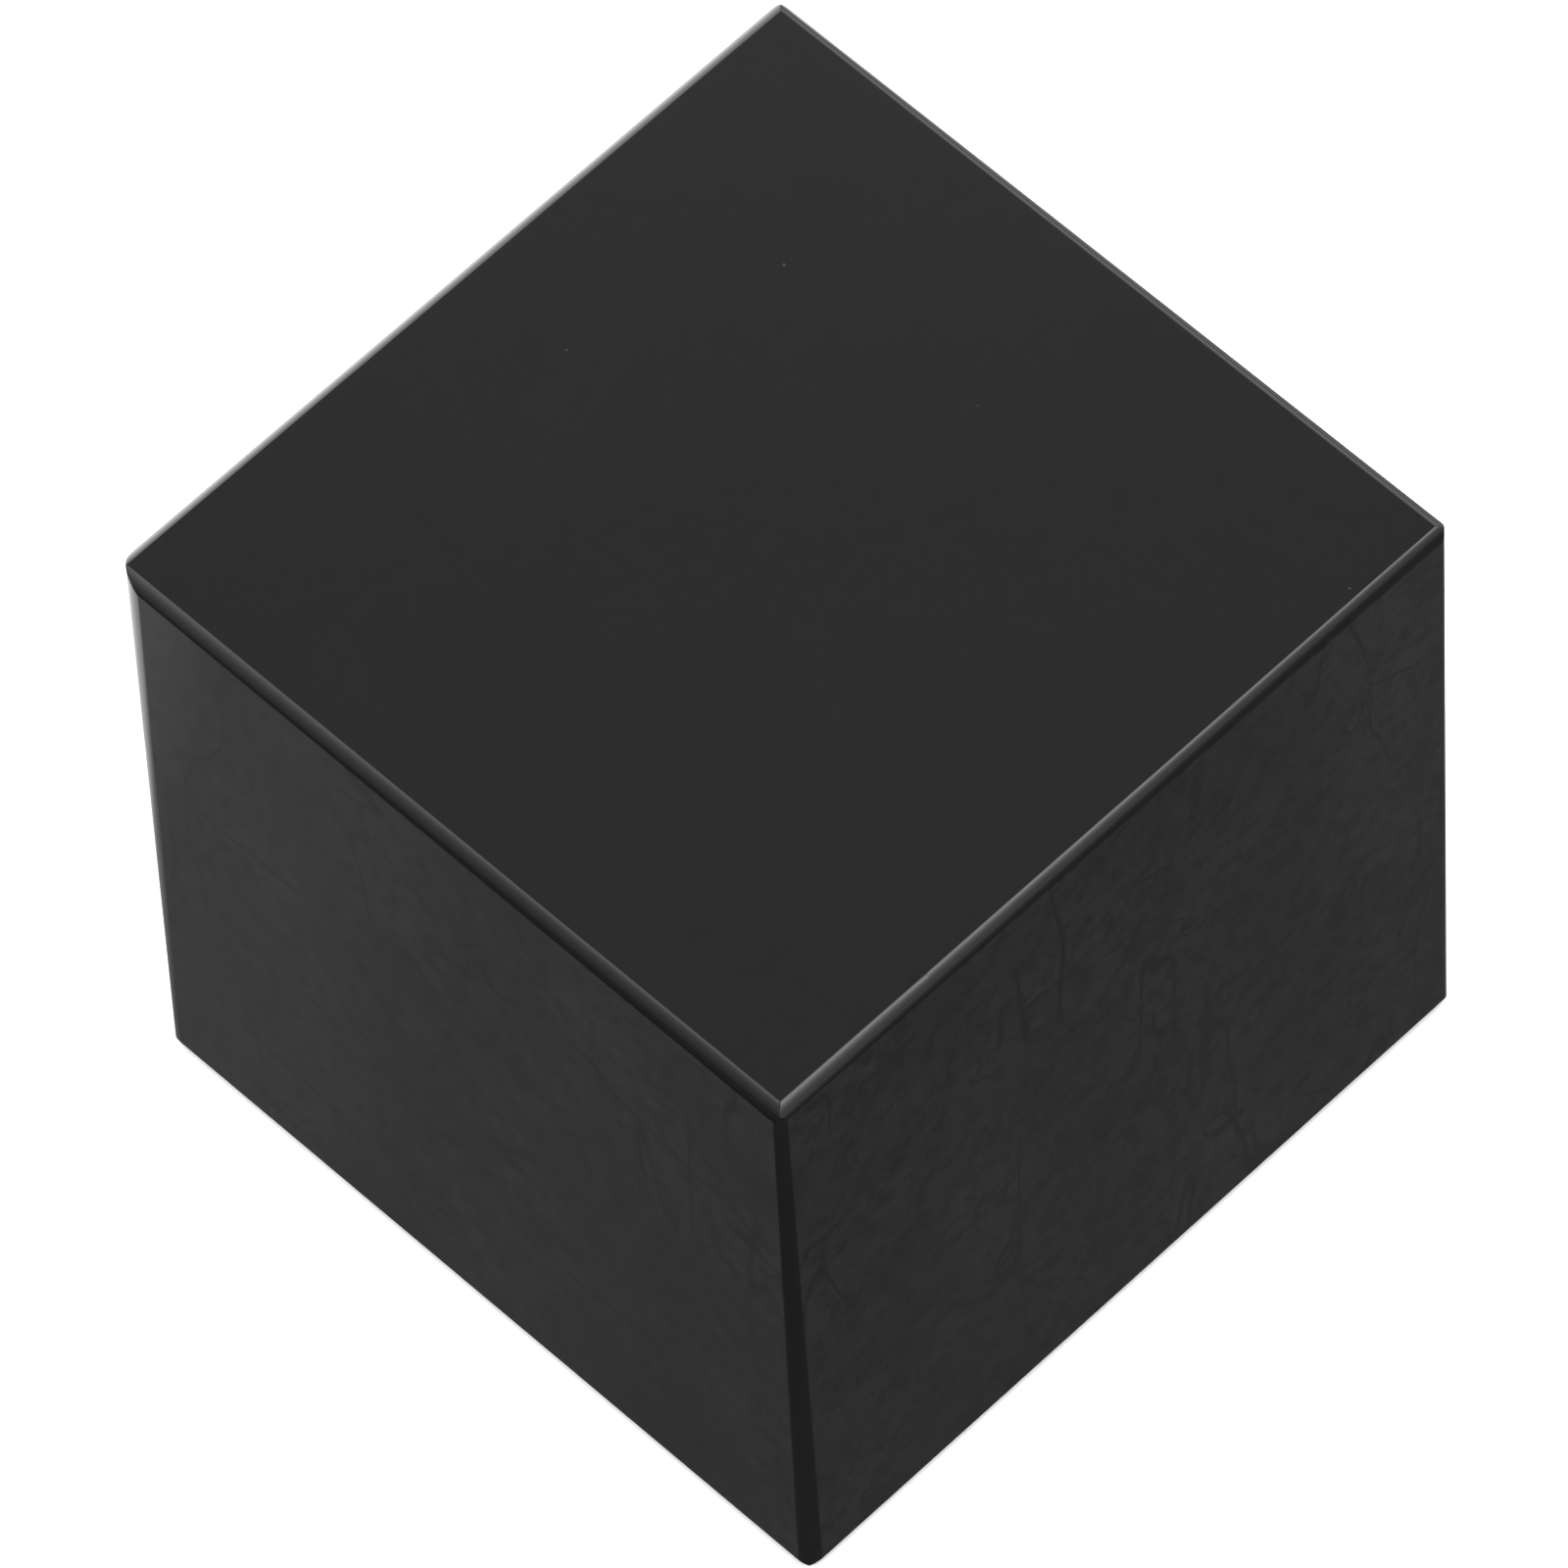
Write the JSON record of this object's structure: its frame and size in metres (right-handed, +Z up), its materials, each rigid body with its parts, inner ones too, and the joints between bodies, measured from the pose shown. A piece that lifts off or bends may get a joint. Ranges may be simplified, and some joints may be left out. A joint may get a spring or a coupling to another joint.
{
  "type": "polished stone block",
  "caption": "Near-cube block of polished black volcanic glass with flat mirror faces and narrow hand-ground chamfers.",
  "frame": {"origin": "centre of the flat base that the block stands on", "axes": "+Z up, square to the base; +X along the width, from the left face to the right face; +Y along the depth, from the front face to the back face"},
  "size_m": [0.05, 0.0494, 0.0469],
  "materials": {
    "volcanic_glass": "polished"
  },
  "bodies": {
    "root": {"polished_block": "volcanic_glass"}
  },
  "joints": []
}
